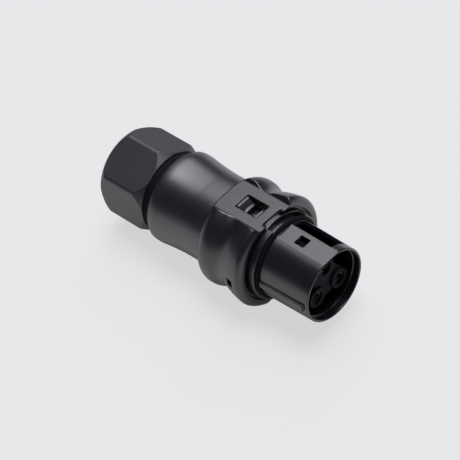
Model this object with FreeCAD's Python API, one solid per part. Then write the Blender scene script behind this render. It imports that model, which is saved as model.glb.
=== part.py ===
import FreeCAD, Part

import math
import os

# Inline socket connector for a round cable, three poles.
# Millimetres. The axis lies along +X, out of the mouth, and +Z is up through the top latch window.
# The origin is on the axis, halfway along the whole length.

# Lengths along the axis
nose_length = 22.0
collar_length = 19.6
body_length = 22.2
neck_length = 3.6
nut_length = 19.2

# Contacts, towers and terminals, which set the size of everything round them
pole_count = 3
pin_bore_radius = 1.55
contact_wall = 0.85
contact_socket_depth = 12.0
contact_slit = 0.5
contact_slit_length = 8.0
contact_tail_radius = 1.5
contact_tail_length = 3.6
tower_wall = 0.9
tower_lip = 0.9
tower_mouth_flare = 0.7
hub_drop = 0.8
tower_recess = 2.8
terminal_size = 6.4
terminal_length = 8.0
terminal_gap = 0.75
wire_hole_radius = 1.9
screw_radius = 1.45
screw_head_radius = 2.2
screw_head_height = 0.8
screw_slot = 0.6
screw_gap = 0.35

# Contact insert and wire guide
insert_wall = 0.52
insert_plate = 2.4
insert_length = 12.2
guide_thickness = 2.6
guide_funnel = 1.0
guide_centre_hole = 0.8

# Contact housing: rear sleeve, flange and nose
sleeve_wall = 1.3
lip_thickness = 0.8
flange_width = 2.0
flange_thickness = 1.3
nose_step = 1.2
nose_wall = 1.5
nose_draft = 0.4
rim_round = 0.5
mouth_length = 2.6
mouth_step = 0.3
facet_width = 7.0
catch_hole_size = 3.6
catch_hole_from_rim = 11.4
key_slot_angle = -33.0
key_slot_width = 7.2
key_slot_end_wall = 3.0
guide_rib_width = 2.2
guide_rib_height = 0.45
guide_rib_from_rim = 1.6

# Locking collar
collar_lip_wall = 1.6
collar_lip_length = 2.2
front_groove_width = 1.1
front_groove_depth = 1.6
front_edge_wall = 0.55
front_ridge_height = 2.45
web_from_front = 3.1
flat_wall = 1.5
flat_width = 13.4
valley_wall = 2.9
rear_ridge_height = 1.4
collar_rear_wall = 1.6
rear_ridge_rise = 4.0
ridge_from_front = 1.8
valley_from_front = 10.2
window_length = 8.6
window_width = 5.9
window_from_front = 4.9
side_notch_length = 2.6
side_notch_width = 3.0
side_notch_from_front = 3.2

# Rear housing
skirt_wall = 1.5
waist_step = 0.9
shoulder_step = 0.95
shoulder_band = 4.0
body_wall = 2.0
neck_step = 2.2
tongue_width = 4.8
tongue_length = 9.0
tongue_slot = 0.7
nib_length = 3.4
nib_height = 1.35
strip_width = 1.2
moulded_edge = 0.6

# Cable seal, clamp cage and gland nut
seal_bore_radius = 5.0
seal_lip = 0.6
cage_wall = 1.7
cage_seat = 1.4
cage_ring_length = 3.6
cage_stand_out = 2.4
finger_count = 8
finger_gap = 1.1
finger_tip_wall = 1.2
seat_depth = 6.0
thread_step = 3.4475
spigot_wall = 2.2
nut_wall = 1.45
nut_edge_round = 1.6
nut_rear_step = 4.0
nut_dome_length = 7.0
nut_front_cone = 3.4
nut_front_drop = 2.0
nut_end_wall = 4.6
cable_hole_radius = 7.5
cable_hole_flare = 1.2
slip_ring_thickness = 1.2
slip_ring_step = 0.3

# Soft rings
body_seal_thickness = 1.3
flange_seal_thickness = 1.1
flange_seal_wall = 1.0

# Clearances
thread_clearance = 0.05
slide_clearance = 0.1
seat_clearance = 0.1
tower_clearance = 0.4
seal_space = 0.5

# Radii of the contact set, from the pin outwards
contact_radius = pin_bore_radius + contact_wall
tower_bore_radius = contact_radius + slide_clearance
tower_radius = tower_bore_radius + tower_wall
pocket_size = terminal_size + 2 * slide_clearance
pole_circle_radius = terminal_size / 2 * (1 + 1 / math.tan(math.pi / pole_count)) + terminal_gap
insert_radius = math.hypot(pole_circle_radius + pocket_size / 2, pocket_size / 2) + insert_wall

# Radii of the contact housing, the collar and the rear housing
sleeve_bore_radius = insert_radius + slide_clearance
lip_radius = pole_circle_radius + tower_radius + tower_clearance
sleeve_radius = sleeve_bore_radius + sleeve_wall
flange_radius = sleeve_radius + flange_width
nose_root_radius = sleeve_radius + nose_step
nose_rim_radius = nose_root_radius - nose_draft
nose_bore_radius = nose_root_radius - nose_wall
mouth_radius = nose_bore_radius + mouth_step
collar_lip_radius = nose_root_radius + slide_clearance + collar_lip_wall
front_groove_radius = collar_lip_radius + front_groove_width
front_edge_radius = front_groove_radius + front_edge_wall
front_ridge_radius = front_edge_radius + front_ridge_height
skirt_bore_radius = sleeve_radius + seal_space
skirt_radius = skirt_bore_radius + skirt_wall
collar_bore_radius = skirt_radius + slide_clearance
flat_height = collar_bore_radius + flat_wall
valley_radius = collar_bore_radius + valley_wall
rear_ridge_radius = valley_radius + rear_ridge_height
collar_rear_radius = collar_bore_radius + collar_rear_wall
waist_radius = skirt_radius + waist_step
shoulder_radius = waist_radius + shoulder_step
neck_radius = shoulder_radius - neck_step
cavity_radius = waist_radius - body_wall

# Radii of the cable gland, from the shoulder inwards, then the nut
spigot_radius = shoulder_radius - thread_step
spigot_bore_radius = spigot_radius - spigot_wall
seat_radius = spigot_bore_radius - cage_seat
cage_radius = spigot_bore_radius - slide_clearance
cage_bore_radius = cage_radius - cage_wall
seal_radius = cage_bore_radius - slide_clearance
nut_bore_radius = spigot_radius + thread_clearance
nut_across_flats = 2 * (nut_bore_radius + nut_wall)
nut_corner_radius = nut_across_flats / math.sqrt(3)
nut_rear_radius = nut_corner_radius - nut_rear_step
nut_front_radius = nut_corner_radius - nut_front_drop
slip_ring_bore_radius = cable_hole_radius + slip_ring_step
slip_ring_radius = cage_radius + 3 * slide_clearance
slip_space_radius = slip_ring_radius + 3 * slide_clearance

# Stations along the axis, from the rim of the mouth back to the end of the nut
total_length = nose_length + collar_length + body_length + neck_length + nut_length
x_rim = total_length / 2
x_mouth = x_rim - mouth_length
x_tip = x_rim - tower_recess
x_front = x_rim - nose_length
x_groove = x_front - front_groove_depth
x_lip = x_front + collar_lip_length
x_nose_seal = x_lip + flange_seal_thickness
x_nose_clear = x_nose_seal + seat_clearance
x_ridge = x_front - ridge_from_front
x_valley = x_front - valley_from_front
x_window_front = x_front - window_from_front
x_window_rear = x_window_front - window_length
x_web = x_front - web_from_front
x_insert_front = x_web - slide_clearance
x_plate = x_insert_front - insert_plate
x_insert_rear = x_insert_front - insert_length
x_guide_rear = x_insert_rear - guide_thickness
screw_x = x_plate - contact_tail_length - screw_gap - screw_radius
x_flange = x_web - flange_thickness
x_skirt = x_flange - body_seal_thickness
x_collar = x_front - collar_length
x_shoulder = x_collar - body_length
x_seat = x_shoulder - seat_depth
x_nut = x_shoulder - neck_length
x_end = x_nut - nut_length
x_nut_floor = x_end + nut_end_wall
x_slip_rear = x_nut_floor + seat_clearance
x_slip_front = x_slip_rear + slip_ring_thickness
x_finger_tip = x_slip_front + seat_clearance
x_spigot_end = x_finger_tip + cage_stand_out

axis_x = FreeCAD.Vector(1, 0, 0)
centre = FreeCAD.Vector(0, 0, 0)


def turned(start, *steps):
    """A solid turned about the X axis from an outline of (x, radius) points.

    A step of two numbers is a straight line, and one of four is an arc through its first point.
    """
    here = FreeCAD.Vector(start[0], 0, start[1])
    edges = []
    for step in steps + (start,):
        end = FreeCAD.Vector(step[-2], 0, step[-1])
        if len(step) == 4:
            middle = FreeCAD.Vector(step[0], 0, step[1])
            edges.append(Part.Arc(here, middle, end).toShape())
        elif here.distanceToPoint(end) > 1e-6:
            edges.append(Part.LineSegment(here, end).toShape())
        here = end
    face = Part.Face(Part.Wire(edges))
    return face.revolve(centre, axis_x, 360)


def part_way(start, end, share):
    """The value that lies a share of the way from start to end."""
    return start + share * (end - start)


def rod(x_from, x_to, radius):
    """A plain cylinder on the axis."""
    low = min(x_from, x_to)
    return Part.makeCylinder(radius, abs(x_to - x_from), FreeCAD.Vector(low, 0, 0), axis_x)


def ring(x_from, x_to, outer, inner):
    """A plain ring on the axis."""
    reach = 1.0
    low = min(x_from, x_to)
    high = max(x_from, x_to)
    return rod(low, high, outer).cut(rod(low - reach, high + reach, inner))


def block(x_from, x_to, width, z_from, z_to):
    """A box centred on Y = 0 between two stations and two heights."""
    low = FreeCAD.Vector(min(x_from, x_to), -width / 2, min(z_from, z_to))
    return Part.makeBox(abs(x_to - x_from), width, abs(z_to - z_from), low)


def about_axis(shape, degrees):
    """A copy turned about the X axis, positive from +Z towards -Y."""
    turned_shape = shape.copy()
    turned_shape.rotate(centre, axis_x, degrees)
    return turned_shape


def wedge(points_xz, width):
    """A prism across Y from an outline of (x, z) points."""
    corners = [FreeCAD.Vector(x, -width / 2, z) for x, z in points_xz]
    face = Part.Face(Part.makePolygon(corners + corners[:1]))
    return face.extrude(FreeCAD.Vector(0, width, 0))


def channel(x_from, x_to, width, z_from, z_to):
    """A cutter along the axis with a flat bottom and sides that lean out at 45 degrees."""
    half = width / 2
    lean = z_to - z_from
    corners = [
        FreeCAD.Vector(x_from, -half, z_from),
        FreeCAD.Vector(x_from, half, z_from),
        FreeCAD.Vector(x_from, half + lean, z_to),
        FreeCAD.Vector(x_from, -half - lean, z_to),
    ]
    face = Part.Face(Part.makePolygon(corners + corners[:1]))
    return face.extrude(FreeCAD.Vector(x_to - x_from, 0, 0))


def post(x, radius, z_from, z_to):
    """A cylinder standing up from the axis at one station."""
    return Part.makeCylinder(radius, z_to - z_from, FreeCAD.Vector(x, 0, z_from), FreeCAD.Vector(0, 0, 1))


def at_pole(shape, pole):
    """A copy of a piece made on the axis, moved out to its pole and turned with it."""
    placed = shape.copy()
    placed.translate(FreeCAD.Vector(0, 0, pole_circle_radius))
    return about_axis(placed, 360.0 / pole_count * pole)


def contact_housing():
    """The nose sleeve with its flange and rear sleeve, one moulding."""
    body = turned(
        (x_mouth, nose_bore_radius),
        (x_mouth, mouth_radius),
        (x_rim - rim_round / 2, mouth_radius),
        (x_rim, mouth_radius + rim_round / 2),
        (x_rim, nose_rim_radius - rim_round),
        (x_rim - 0.3 * rim_round, nose_rim_radius - 0.3 * rim_round,
         x_rim - rim_round, nose_rim_radius),
        (x_front, nose_root_radius),
        (x_web, nose_root_radius),
        (x_web, flange_radius),
        (x_flange, flange_radius),
        (x_flange, sleeve_radius),
        (x_guide_rear, sleeve_radius),
        (x_guide_rear, sleeve_bore_radius),
        (x_insert_front, sleeve_bore_radius),
        (x_insert_front, lip_radius),
        (x_insert_front + lip_thickness, lip_radius),
        (x_insert_front + lip_thickness, nose_bore_radius),
    )
    reach = 1.0
    root_height = math.sqrt(nose_root_radius ** 2 - facet_width ** 2 / 4)
    rim_height = math.sqrt(nose_rim_radius ** 2 - facet_width ** 2 / 4)
    top = nose_root_radius + reach
    facet_outline = [(x_nose_clear, root_height), (x_rim, rim_height), (x_rim, top), (x_nose_clear, top)]
    body = body.cut(wedge(facet_outline, 2 * nose_root_radius))
    hole_x = x_rim - catch_hole_from_rim
    half = catch_hole_size / 2
    body = body.cut(block(hole_x - half, hole_x + half, catch_hole_size, 0, nose_root_radius + reach))
    slot = block(x_nose_clear, x_rim - key_slot_end_wall, key_slot_width, 0, nose_root_radius + reach)
    body = body.cut(about_axis(slot, key_slot_angle))
    for side in (-90, 90):
        rib = block(
            x_nose_clear, x_rim - guide_rib_from_rim, guide_rib_width,
            nose_bore_radius + nose_wall / 2, nose_root_radius + guide_rib_height,
        )
        body = body.fuse(about_axis(rib, side))
    return body.removeSplitter()


def lock_collar():
    """The gripping collar with two ridges, two flats, latch windows and a grooved front round the nose."""
    x_rear_ridge = x_collar + rear_ridge_rise
    x_dip_rear = part_way(x_rear_ridge, x_valley, 0.5)
    x_dip_front = part_way(x_valley, x_ridge, 0.35)
    body = turned(
        (x_collar, collar_bore_radius),
        (x_collar, collar_rear_radius),
        (x_collar + 0.3 * rear_ridge_rise, part_way(collar_rear_radius, rear_ridge_radius, 0.65),
         x_rear_ridge, rear_ridge_radius),
        (part_way(x_rear_ridge, x_valley, 0.28), part_way(rear_ridge_radius, valley_radius, 0.15),
         x_dip_rear, part_way(rear_ridge_radius, valley_radius, 0.5)),
        (x_valley, valley_radius, x_dip_front, part_way(valley_radius, front_ridge_radius, 0.4)),
        (part_way(x_valley, x_ridge, 0.65), part_way(valley_radius, front_ridge_radius, 0.75),
         x_ridge, front_ridge_radius),
        (x_front - 0.25 * ridge_from_front, part_way(front_ridge_radius, front_edge_radius, 0.4),
         x_front, front_edge_radius),
        (x_front, front_groove_radius),
        (x_groove, front_groove_radius),
        (x_groove, collar_lip_radius),
        (x_lip, collar_lip_radius),
        (x_lip, nose_root_radius + slide_clearance),
        (x_web, nose_root_radius + slide_clearance),
        (x_web, collar_bore_radius),
    )
    reach = 1.0
    outside = front_ridge_radius + reach
    for side in (0, 180):
        flat = channel(x_collar - reach, x_front + reach, flat_width, flat_height, outside)
        window = block(x_window_rear, x_window_front, window_width, 0, outside)
        body = body.cut(about_axis(flat, side))
        body = body.cut(about_axis(window, side))
    notch_x = x_front - side_notch_from_front
    for side in (-90, 90):
        notch = block(notch_x - side_notch_length, notch_x, side_notch_width, 0, outside)
        body = body.cut(about_axis(notch, side))
    gap = block(x_front, x_lip + reach, key_slot_width, 0, outside)
    for angle in (0, key_slot_angle / 2, key_slot_angle):
        body = body.cut(about_axis(gap, angle))
    return body.removeSplitter()


def latch_nib():
    """The wedge on a latch tongue: steep behind, sloping down towards the front."""
    x_back = x_window_rear + seat_clearance
    base = skirt_radius - skirt_wall / 2
    outline = [
        (x_back, base),
        (x_back, skirt_radius + nib_height),
        (x_back + 0.25 * nib_length, skirt_radius + nib_height),
        (x_back + nib_length, base),
    ]
    return wedge(outline, tongue_width)


def rear_housing():
    """The waisted rear housing with its threaded spigot and the skirt that latches in the collar."""
    corner = moulded_edge
    inner_slope = 1.5 * body_wall
    body = turned(
        (x_skirt, skirt_bore_radius),
        (x_skirt, skirt_radius - corner / 2),
        (x_skirt - corner / 2, skirt_radius),
        (x_collar, skirt_radius),
        (x_collar, waist_radius),
        (x_collar - 0.35 * body_length, waist_radius),
        (part_way(x_collar, x_shoulder, 0.6), part_way(waist_radius, shoulder_radius, 0.3),
         x_shoulder + shoulder_band, part_way(waist_radius, shoulder_radius, 0.85)),
        (x_shoulder + 0.5 * shoulder_band, shoulder_radius,
         x_shoulder + corner, part_way(waist_radius, shoulder_radius, 0.9)),
        (x_shoulder, shoulder_radius - corner),
        (x_shoulder, spigot_radius),
        (x_spigot_end + corner, spigot_radius),
        (x_spigot_end, spigot_radius - corner),
        (x_spigot_end, spigot_bore_radius),
        (x_seat, spigot_bore_radius),
        (x_seat, seat_radius),
        (x_shoulder + body_wall, seat_radius),
        (x_shoulder + body_wall + inner_slope, cavity_radius),
        (x_collar - body_wall, cavity_radius),
        (x_collar - slide_clearance, skirt_bore_radius),
    )
    reach = 1.0
    x_tongue_front = x_window_rear + seat_clearance + nib_length
    x_tongue_rear = x_tongue_front - tongue_length
    hole_end = x_skirt - strip_width
    slot_width = tongue_width + 2 * tongue_slot
    for side in (0, 180):
        gap = block(x_tongue_front, hole_end, slot_width, 0, skirt_radius + reach)
        body = body.cut(about_axis(gap, side))
        for edge in (-1, 1):
            slot = block(x_tongue_rear, x_tongue_front + tongue_slot, tongue_slot, 0, skirt_radius + reach)
            slot.translate(FreeCAD.Vector(0, edge * (tongue_width + tongue_slot) / 2, 0))
            body = body.cut(about_axis(slot, side))
        body = body.fuse(about_axis(latch_nib(), side))
    return body.removeSplitter()


def neck_ring():
    """The soft ring between the nut and the shoulder."""
    return ring(x_nut + seat_clearance, x_shoulder, neck_radius, spigot_radius + slide_clearance)


def gland_nut():
    """The hexagon nut with a domed rear end, bored for the thread and the cable."""
    corners = []
    for index in range(6):
        angle = math.radians(60 * index)
        corners.append(
            FreeCAD.Vector(x_end, nut_corner_radius * math.sin(angle), nut_corner_radius * math.cos(angle))
        )
    prism = Part.Face(Part.makePolygon(corners + corners[:1])).extrude(FreeCAD.Vector(nut_length, 0, 0))
    side_edges = [edge for edge in prism.Edges if abs(edge.Length - nut_length) < 1e-3]
    prism = prism.makeFillet(nut_edge_round, side_edges)
    dome = turned(
        (x_end, 0),
        (x_end, nut_rear_radius),
        (x_end + 0.28 * nut_dome_length, part_way(nut_rear_radius, nut_corner_radius, 0.7),
         x_end + nut_dome_length, nut_corner_radius),
        (x_nut - nut_front_cone, nut_corner_radius),
        (x_nut, nut_front_radius),
        (x_nut, 0),
    )
    flare = cable_hole_flare
    reach = 1.0
    bore = turned(
        (x_nut + reach, 0),
        (x_nut + reach, nut_bore_radius),
        (x_spigot_end - 0.25 * cage_stand_out, nut_bore_radius),
        (x_finger_tip + 0.2 * cage_stand_out, slip_space_radius),
        (x_nut_floor, slip_space_radius),
        (x_nut_floor, cable_hole_radius),
        (x_end + flare, cable_hole_radius),
        (x_end + 0.3 * flare, cable_hole_radius + 0.3 * flare, x_end, cable_hole_radius + flare),
        (x_end - reach, cable_hole_radius + flare),
        (x_end - reach, 0),
    )
    return prism.common(dome).cut(bore)


def slip_ring():
    """The washer that the nut presses on the fingers without turning them."""
    return ring(x_slip_rear, x_slip_front, slip_ring_radius, slip_ring_bore_radius)


def clamp_cage():
    """The ring of fingers that closes on the cable seal when the nut is tightened."""
    body = turned(
        (x_seat, cage_bore_radius),
        (x_seat, cage_radius),
        (x_spigot_end, cage_radius),
        (x_finger_tip, cage_bore_radius + finger_tip_wall),
        (x_finger_tip, cage_bore_radius),
    )
    gap_front = x_seat - cage_ring_length
    for index in range(finger_count):
        gap = block(x_finger_tip - cage_wall, gap_front, finger_gap, 0, cage_radius + cage_wall)
        body = body.cut(about_axis(gap, 360.0 / finger_count * (index + 0.5)))
    return body


def cable_seal():
    """The rubber sleeve that grips and seals the cable."""
    return turned(
        (x_seat, seal_bore_radius + seal_lip),
        (x_seat, seal_radius),
        (x_finger_tip + seal_lip, seal_radius),
        (x_finger_tip, seal_radius - seal_lip),
        (x_finger_tip, seal_bore_radius + seal_lip),
        (x_finger_tip + seal_lip, seal_bore_radius),
        (x_seat - seal_lip, seal_bore_radius),
    )


def body_seal():
    """The flat ring squeezed between the flange and the skirt."""
    return ring(x_skirt, x_flange, flange_radius - slide_clearance, sleeve_radius + slide_clearance)


def flange_seal():
    """The soft ring round the root of the nose, in front of the collar's lip."""
    outer = nose_root_radius + flange_seal_wall
    bevel = flange_seal_thickness / 2
    return turned(
        (x_lip, nose_root_radius),
        (x_lip, outer),
        (x_nose_seal - bevel, outer),
        (x_nose_seal, outer - bevel),
        (x_nose_seal, nose_root_radius),
    )


def contact_insert():
    """The insulating insert: three towers round a hub in front, three terminal pockets behind."""
    body = rod(x_insert_rear, x_insert_front, insert_radius)
    body = body.fuse(rod(x_plate, x_tip - hub_drop, pole_circle_radius))
    reach = 1.0
    half = pocket_size / 2
    for pole in range(pole_count):
        tower = rod(x_plate, x_tip, tower_radius)
        flare = rod(x_tip - tower_lip / 2, x_tip + reach, pin_bore_radius + tower_mouth_flare)
        body = body.fuse(at_pole(tower.cut(flare), pole))
    for pole in range(pole_count):
        lip_bore = rod(x_plate - reach, x_tip + reach, pin_bore_radius + tower_mouth_flare / 2)
        contact_bore = rod(x_plate - reach, x_tip - tower_lip, tower_bore_radius)
        pocket = block(x_insert_rear - reach, x_plate, pocket_size, -half, half)
        access = post(screw_x, screw_head_radius + slide_clearance, 0, insert_radius)
        for hollow in (lip_bore, contact_bore, pocket, access):
            body = body.cut(at_pole(hollow, pole))
    return body.removeSplitter()


def wire_guide():
    """The plate behind the insert with a funnel for each wire."""
    body = ring(x_guide_rear, x_insert_rear, insert_radius, guide_centre_hole)
    reach = 1.0
    for pole in range(pole_count):
        funnel = turned(
            (x_insert_rear + reach, 0),
            (x_insert_rear + reach, wire_hole_radius),
            (x_guide_rear + guide_funnel, wire_hole_radius),
            (x_guide_rear - reach, wire_hole_radius + guide_funnel + reach),
            (x_guide_rear - reach, 0),
        )
        body = body.cut(at_pole(funnel, pole))
    return body


def socket_contact():
    """One socket contact on the axis: a slit tube with a solid tail."""
    front = x_tip - tower_lip - seat_clearance
    back = x_plate
    reach = 1.0
    body = rod(back, front, contact_radius)
    body = body.cut(rod(front - contact_socket_depth, front + reach, pin_bore_radius))
    deep = 2 * contact_radius
    slit = block(front - contact_slit_length, front + reach, contact_slit, -deep, deep)
    body = body.cut(slit)
    tail = rod(back - contact_tail_length, back, contact_tail_radius)
    return body.fuse(tail).removeSplitter()


def terminal_block():
    """One screw terminal on the axis: a brass block with a wire hole and a cross-drilled thread."""
    half = terminal_size / 2
    rear = x_plate - terminal_length
    body = block(rear, x_plate, terminal_size, -half, half)
    reach = 1.0
    x_tail = x_plate - contact_tail_length
    body = body.cut(rod(x_tail, x_plate + reach, contact_tail_radius + thread_clearance))
    body = body.cut(rod(rear - reach, x_tail, wire_hole_radius))
    return body.cut(post(screw_x, screw_radius + thread_clearance, 0, half + reach))


def clamp_screw():
    """One slotted clamping screw on its terminal, pointing outwards."""
    seat = terminal_size / 2 + thread_clearance
    top = seat + screw_head_height
    shank = post(screw_x, screw_radius, 0.3 * seat, seat)
    head = post(screw_x, screw_head_radius, seat, top)
    slot_floor = top - screw_head_height / 2
    slot = block(screw_x - screw_head_radius, screw_x + screw_head_radius, screw_slot, slot_floor, 2 * top)
    return shank.fuse(head).cut(slot).removeSplitter()


def save(name, shape):
    """Write one piece to its own file."""
    solids = shape.Solids
    if len(solids) != 1 or not shape.isValid():
        print("check", name, len(solids), shape.isValid())
    solids[0].exportStep("parts/" + name + ".step")


os.makedirs("parts", exist_ok=True)

save("contact_housing", contact_housing())
save("lock_collar", lock_collar())
save("rear_housing", rear_housing())
save("neck_ring", neck_ring())
save("gland_nut", gland_nut())
save("slip_ring", slip_ring())
save("clamp_cage", clamp_cage())
save("cable_seal", cable_seal())
save("body_seal", body_seal())
save("flange_seal", flange_seal())
save("contact_insert", contact_insert())
save("wire_guide", wire_guide())
for pole in range(pole_count):
    number = str(pole + 1)
    save("socket_contact_" + number, at_pole(socket_contact(), pole))
    save("terminal_block_" + number, at_pole(terminal_block(), pole))
    save("clamp_screw_" + number, at_pole(clamp_screw(), pole))
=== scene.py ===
import math

import bpy
from mathutils import Matrix, Vector


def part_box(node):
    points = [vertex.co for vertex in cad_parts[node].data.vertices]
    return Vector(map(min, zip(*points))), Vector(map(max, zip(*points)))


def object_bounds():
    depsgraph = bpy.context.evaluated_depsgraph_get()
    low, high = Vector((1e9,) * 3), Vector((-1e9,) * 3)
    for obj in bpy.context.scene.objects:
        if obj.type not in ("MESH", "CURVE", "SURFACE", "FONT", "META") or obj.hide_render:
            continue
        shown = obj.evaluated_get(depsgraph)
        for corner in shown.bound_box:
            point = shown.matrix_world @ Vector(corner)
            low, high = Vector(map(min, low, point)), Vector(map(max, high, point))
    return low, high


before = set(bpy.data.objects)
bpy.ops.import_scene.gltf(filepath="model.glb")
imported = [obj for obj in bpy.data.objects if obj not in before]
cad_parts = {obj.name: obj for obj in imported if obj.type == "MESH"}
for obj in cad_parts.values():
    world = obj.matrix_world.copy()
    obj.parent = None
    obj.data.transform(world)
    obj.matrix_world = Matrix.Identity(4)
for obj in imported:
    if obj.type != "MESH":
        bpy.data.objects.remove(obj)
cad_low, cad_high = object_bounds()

MM = 0.001

# The photograph's camera: angles in degrees, distance in metres, the rest in photograph pixels
IMAGE_SIZE = 460
CAMERA_AZIMUTH = 49.51
CAMERA_ELEVATION = 45.77
CAMERA_ROLL = -9.70
CAMERA_DISTANCE = 0.7567
FOCAL_PIXELS = 2458.5
ORIGIN_PIXEL = (228.59, 223.66)
SENSOR_WIDTH = 36.0

# Studio light
FLOOR_COLOUR = (0.791, 0.796, 0.807)
FLOOR_SIZE = 1.2
FLOOR_GLOW = 0.8
FLOOR_GLOW_IN_GLOSS = 0.25
WORLD_COLOUR = (0.97, 0.98, 1.0)
WORLD_GLOW = 0.823
WORLD_FILL = 0.045
LAMP_COLOUR = (0.96, 0.975, 1.0)

# Colours of the finishes
BLACK = (0.0065, 0.0075, 0.0115)
CAGE_GREY = (0.05, 0.051, 0.054)
# Black rubber, darker than the plastic: partly the rubber's own colour and partly painted shade for the
# shaded gap at the neck ring
RUBBER_BLACK_AND_PAINTED_SHADE = (0.0035, 0.0035, 0.005)
TIN = (0.62, 0.58, 0.48)
BRASS = (0.68, 0.53, 0.28)
ZINC = (0.56, 0.56, 0.58)

# Surfaces: sizes in millimetres, scales in repeats per metre
PLASTIC_IOR = 1.58
DRIFT_SCALE = 90
PLASTIC_DRIFT = 0.04
METAL_DRIFT = 0.08
PLASTIC_GRAIN_DEPTH = 0.012
PLASTIC_GRAIN_SIZE = 0.16
RUBBER_GRAIN_DEPTH = 0.02
RUBBER_GRAIN_SIZE = 0.25
MACHINING_SCALE = (12000, 900, 900)
CRISP_EDGE = 0.3
SOFT_EDGE = 0.7
EDGE_SAMPLES = 8
THREAD_PITCH = 1.5
THREAD_DEPTH = 0.8


def input_of(node, name, value):
    """Set one socket of a node."""
    node.inputs[name].default_value = value


def direction(azimuth, elevation):
    """The unit vector from the part towards a viewer; azimuth 0 is in front, on the -Y side."""
    a = math.radians(azimuth)
    e = math.radians(elevation)
    return Vector((math.sin(a) * math.cos(e), -math.cos(a) * math.cos(e), math.sin(e)))


def photo_camera():
    """The camera of the photograph, aimed at the part's origin."""
    back = direction(CAMERA_AZIMUTH, CAMERA_ELEVATION)
    a = math.radians(CAMERA_AZIMUTH)
    level = Vector((math.cos(a), math.sin(a), 0))
    upright = back.cross(level)
    r = math.radians(CAMERA_ROLL)
    right = math.cos(r) * level + math.sin(r) * upright
    up = math.cos(r) * upright - math.sin(r) * level
    data = bpy.data.cameras.new("photo_camera")
    data.sensor_width = SENSOR_WIDTH
    data.lens = FOCAL_PIXELS * SENSOR_WIDTH / IMAGE_SIZE
    data.shift_x = (IMAGE_SIZE / 2 - ORIGIN_PIXEL[0]) / IMAGE_SIZE
    data.shift_y = (ORIGIN_PIXEL[1] - IMAGE_SIZE / 2) / IMAGE_SIZE
    data.clip_start = 0.01
    data.clip_end = 50
    camera = bpy.data.objects.new("photo_camera", data)
    turn = Matrix((right, up, back)).transposed().to_4x4()
    camera.matrix_world = Matrix.Translation(back * CAMERA_DISTANCE) @ turn
    bpy.context.scene.collection.objects.link(camera)
    bpy.context.scene.camera = camera


def new_lamp(name, kind, energy):
    """A lamp in the colour of the studio light."""
    data = bpy.data.lights.new(name, kind)
    data.energy = energy
    data.color = LAMP_COLOUR
    lamp = bpy.data.objects.new(name, data)
    bpy.context.scene.collection.objects.link(lamp)
    return lamp


def soft_sun(name, azimuth, elevation, strength, angle):
    """A soft parallel lamp that shines from one direction."""
    lamp = new_lamp(name, "SUN", strength)
    lamp.data.angle = math.radians(angle)
    lamp.rotation_mode = "QUATERNION"
    lamp.rotation_quaternion = direction(azimuth, elevation).to_track_quat("Z", "Y")


def soft_panel(name, azimuth, elevation, distance, along, across, power):
    """A flat softbox facing the part, with its first side along the part's axis."""
    lamp = new_lamp(name, "AREA", power)
    lamp.data.shape = "RECTANGLE"
    lamp.data.size = along
    lamp.data.size_y = across
    back = direction(azimuth, elevation)
    side = (Vector((1, 0, 0)) - back.x * back).normalized()
    turn = Matrix((side, back.cross(side), back)).transposed().to_4x4()
    lamp.matrix_world = Matrix.Translation(back * distance) @ turn


def new_material(name):
    """An empty node material with its output node."""
    material = bpy.data.materials.new(name)
    material.use_nodes = True
    nodes = material.node_tree.nodes
    nodes.clear()
    output = nodes.new("ShaderNodeOutputMaterial")
    return material, nodes, material.node_tree.links, output


def maths(nodes, links, operation, *values):
    """The result of one Math node, whose inputs are sockets or numbers."""
    node = nodes.new("ShaderNodeMath")
    node.operation = operation
    for socket, value in zip(node.inputs, values):
        if isinstance(value, bpy.types.NodeSocket):
            links.new(value, socket)
        else:
            socket.default_value = value
    return node.outputs[0]


def noise(nodes, links, place, scale, detail):
    """A noise pattern over the given coordinates, from 0 to 1."""
    pattern = nodes.new("ShaderNodeTexNoise")
    input_of(pattern, "Scale", scale)
    input_of(pattern, "Detail", detail)
    links.new(place, pattern.inputs["Vector"])
    return pattern.outputs["Fac"]


def between(nodes, links, share, low, high):
    """The number that lies a varying share of the way from low to high."""
    gauge = nodes.new("ShaderNodeMapRange")
    input_of(gauge, "To Min", low)
    input_of(gauge, "To Max", high)
    links.new(share, gauge.inputs["Value"])
    return gauge.outputs["Result"]


def shades(nodes, links, pattern, dark, light, dark_end=0.0, light_end=1.0):
    """A colour that goes from dark to light with the pattern, plain beyond the two ends."""
    ramp = nodes.new("ShaderNodeValToRGB")
    first, last = ramp.color_ramp.elements
    first.position = dark_end
    last.position = light_end
    first.color = (*dark, 1)
    last.color = (*light, 1)
    links.new(pattern, ramp.inputs["Fac"])
    return ramp.outputs["Color"]


def tinted(colour, factor):
    """A lighter or darker version of a colour."""
    return [min(1, factor * channel) for channel in colour]


def rounded_normal(nodes, radius):
    """The surface normal, with the edges shaded as rounded."""
    rounded = nodes.new("ShaderNodeBevel")
    rounded.samples = EDGE_SAMPLES
    input_of(rounded, "Radius", radius * MM)
    return rounded.outputs["Normal"]


def relief(nodes, links, normal, height, depth):
    """The normal with a pattern of heights pressed into it."""
    bump = nodes.new("ShaderNodeBump")
    input_of(bump, "Strength", 1.0)
    input_of(bump, "Distance", depth * MM)
    links.new(height, bump.inputs["Height"])
    links.new(normal, bump.inputs["Normal"])
    return bump.outputs["Normal"]


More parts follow.
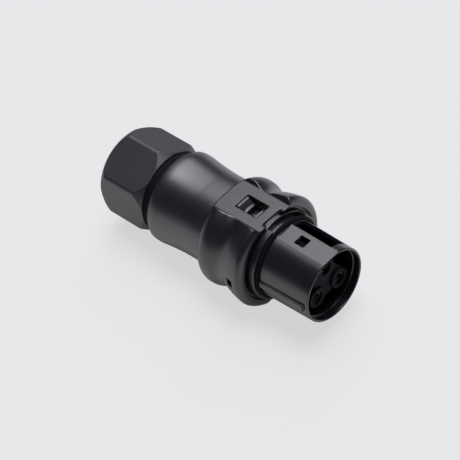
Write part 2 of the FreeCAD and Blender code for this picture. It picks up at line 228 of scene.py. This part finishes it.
def studio_floor():
    """The pale floor under the part."""
    half = FLOOR_SIZE / 2
    z = cad_low.z
    mesh = bpy.data.meshes.new("studio_floor")
    corners = [(-half, -half, z), (half, -half, z), (half, half, z), (-half, half, z)]
    mesh.from_pydata(corners, [], [(0, 1, 2, 3)])
    floor = bpy.data.objects.new("studio_floor", mesh)
    bpy.context.scene.collection.objects.link(floor)
    material, nodes, links, output = new_material("pale_floor")
    lit = nodes.new("ShaderNodeBsdfDiffuse")
    input_of(lit, "Color", (*FLOOR_COLOUR, 1))
    seen = nodes.new("ShaderNodeEmission")
    input_of(seen, "Color", (*FLOOR_COLOUR, 1))
    path = nodes.new("ShaderNodeLightPath")
    in_gloss = maths(nodes, links, "MULTIPLY", path.outputs["Is Glossy Ray"], FLOOR_GLOW_IN_GLOSS)
    share = maths(nodes, links, "MULTIPLY_ADD", path.outputs["Is Camera Ray"], FLOOR_GLOW, in_gloss)
    mix = nodes.new("ShaderNodeMixShader")
    links.new(share, mix.inputs[0])
    links.new(lit.outputs[0], mix.inputs[1])
    links.new(seen.outputs[0], mix.inputs[2])
    links.new(mix.outputs[0], output.inputs[0])
    mesh.materials.append(material)


def studio_world():
    """A dim fill all round, seen as a pale background by the camera."""
    world = bpy.data.worlds.new("studio_world")
    bpy.context.scene.world = world
    world.use_nodes = True
    nodes = world.node_tree.nodes
    links = world.node_tree.links
    background = nodes["Background"]
    path = nodes.new("ShaderNodeLightPath")
    level = between(nodes, links, path.outputs["Is Camera Ray"], WORLD_FILL, WORLD_GLOW)
    links.new(level, background.inputs["Strength"])
    input_of(background, "Color", (*WORLD_COLOUR, 1))


def thread_height(nodes, links, place):
    """The height of the spigot's screw thread, zero away from the spigot."""
    split = nodes.new("ShaderNodeSeparateXYZ")
    links.new(place, split.inputs[0])
    x, y, z = split.outputs
    turn = maths(nodes, links, "DIVIDE", maths(nodes, links, "ARCTAN2", z, y), math.tau)
    helix = maths(nodes, links, "MULTIPLY_ADD", x, 1 / (THREAD_PITCH * MM), turn)
    tooth = maths(nodes, links, "PINGPONG", helix, 0.5)
    behind = maths(nodes, links, "LESS_THAN", x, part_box("neck_ring")[1].x)
    return maths(nodes, links, "MULTIPLY", tooth, behind)


def moulded_plastic(
    name, colour, roughness, specular, edge=CRISP_EDGE,
    grain_depth=PLASTIC_GRAIN_DEPTH, grain_size=PLASTIC_GRAIN_SIZE, thread=False,
):
    """Satin moulded plastic: a fine spark-eroded grain, faint drifts in shade and gloss, rounded edges."""
    material, nodes, links, output = new_material(name)
    place = nodes.new("ShaderNodeTexCoord").outputs["Object"]
    drift = noise(nodes, links, place, DRIFT_SCALE, detail=3)
    dark = tinted(colour, 0.85)
    light = tinted(colour, 1.15)
    shade = shades(nodes, links, drift, dark, light, dark_end=0.3, light_end=0.75)
    gloss = between(nodes, links, drift, roughness - PLASTIC_DRIFT, roughness + PLASTIC_DRIFT)
    normal = rounded_normal(nodes, edge)
    if thread:
        normal = relief(nodes, links, normal, thread_height(nodes, links, place), THREAD_DEPTH)
    grain = noise(nodes, links, place, 1 / (grain_size * MM), detail=2)
    normal = relief(nodes, links, normal, grain, grain_depth)
    shader = nodes.new("ShaderNodeBsdfPrincipled")
    input_of(shader, "Specular IOR Level", specular)
    input_of(shader, "IOR", PLASTIC_IOR)
    links.new(shade, shader.inputs["Base Color"])
    links.new(gloss, shader.inputs["Roughness"])
    links.new(normal, shader.inputs["Normal"])
    links.new(shader.outputs[0], output.inputs[0])
    return material


def rubber(name, colour):
    """Matt rubber with a coarser grain."""
    return moulded_plastic(
        name, colour, roughness=0.8, specular=0.12,
        grain_depth=RUBBER_GRAIN_DEPTH, grain_size=RUBBER_GRAIN_SIZE,
    )


def metal(name, colour, roughness):
    """Machined metal with fine marks round the part's axis."""
    material, nodes, links, output = new_material(name)
    place = nodes.new("ShaderNodeTexCoord").outputs["Object"]
    stretch = nodes.new("ShaderNodeMapping")
    input_of(stretch, "Scale", MACHINING_SCALE)
    links.new(place, stretch.inputs["Vector"])
    marks = noise(nodes, links, stretch.outputs["Vector"], scale=1.0, detail=3)
    dark = tinted(colour, 0.8)
    light = tinted(colour, 1.1)
    shade = shades(nodes, links, marks, dark, light)
    gloss = between(nodes, links, marks, roughness - METAL_DRIFT, roughness + METAL_DRIFT)
    shader = nodes.new("ShaderNodeBsdfPrincipled")
    input_of(shader, "Metallic", 1.0)
    links.new(shade, shader.inputs["Base Color"])
    links.new(gloss, shader.inputs["Roughness"])
    links.new(shader.outputs[0], output.inputs[0])
    return material


def dress(material, *names):
    """Give CAD nodes their finish."""
    for name in names:
        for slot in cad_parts[name].material_slots:
            slot.material = material


bpy.context.scene.view_settings.view_transform = "Standard"
photo_camera()
studio_floor()
studio_world()
soft_panel("back_softbox", azimuth=217, elevation=61, distance=2.0, along=1.15, across=2.4, power=25)
soft_sun("top_softbox", azimuth=165, elevation=82, strength=1.9, angle=32)

nose_finish = moulded_plastic("nose_finish", BLACK, roughness=0.29, specular=0.72)
collar_finish = moulded_plastic("collar_finish", BLACK, roughness=0.33, specular=0.75, edge=SOFT_EDGE)
body_finish = moulded_plastic("body_finish", BLACK, roughness=0.34, specular=0.95, thread=True)
nut_finish = moulded_plastic("nut_finish", BLACK, roughness=0.5, specular=0.8)
cage_finish = moulded_plastic("cage_finish", CAGE_GREY, roughness=0.5, specular=0.5)
insert_finish = moulded_plastic("insert_finish", BLACK, roughness=0.6, specular=0.08)
# The seals' rubber is darkened beyond its own colour as painted shade, standing in for the shade in the
# recessed neck gap
seal_finish_with_painted_shade = rubber("seal_finish_with_painted_shade", RUBBER_BLACK_AND_PAINTED_SHADE)

dress(nose_finish, "contact_housing")
dress(collar_finish, "lock_collar")
dress(body_finish, "rear_housing")
dress(nut_finish, "gland_nut")
dress(cage_finish, "clamp_cage", "slip_ring")
dress(insert_finish, "contact_insert", "wire_guide")
dress(seal_finish_with_painted_shade, "neck_ring", "cable_seal", "body_seal", "flange_seal")
for pole in range(3):
    number = str(pole + 1)
    dress(metal("contact_finish_" + number, TIN, roughness=0.35), "socket_contact_" + number)
    dress(metal("terminal_finish_" + number, BRASS, roughness=0.35), "terminal_block_" + number)
    dress(metal("screw_finish_" + number, ZINC, roughness=0.3), "clamp_screw_" + number)
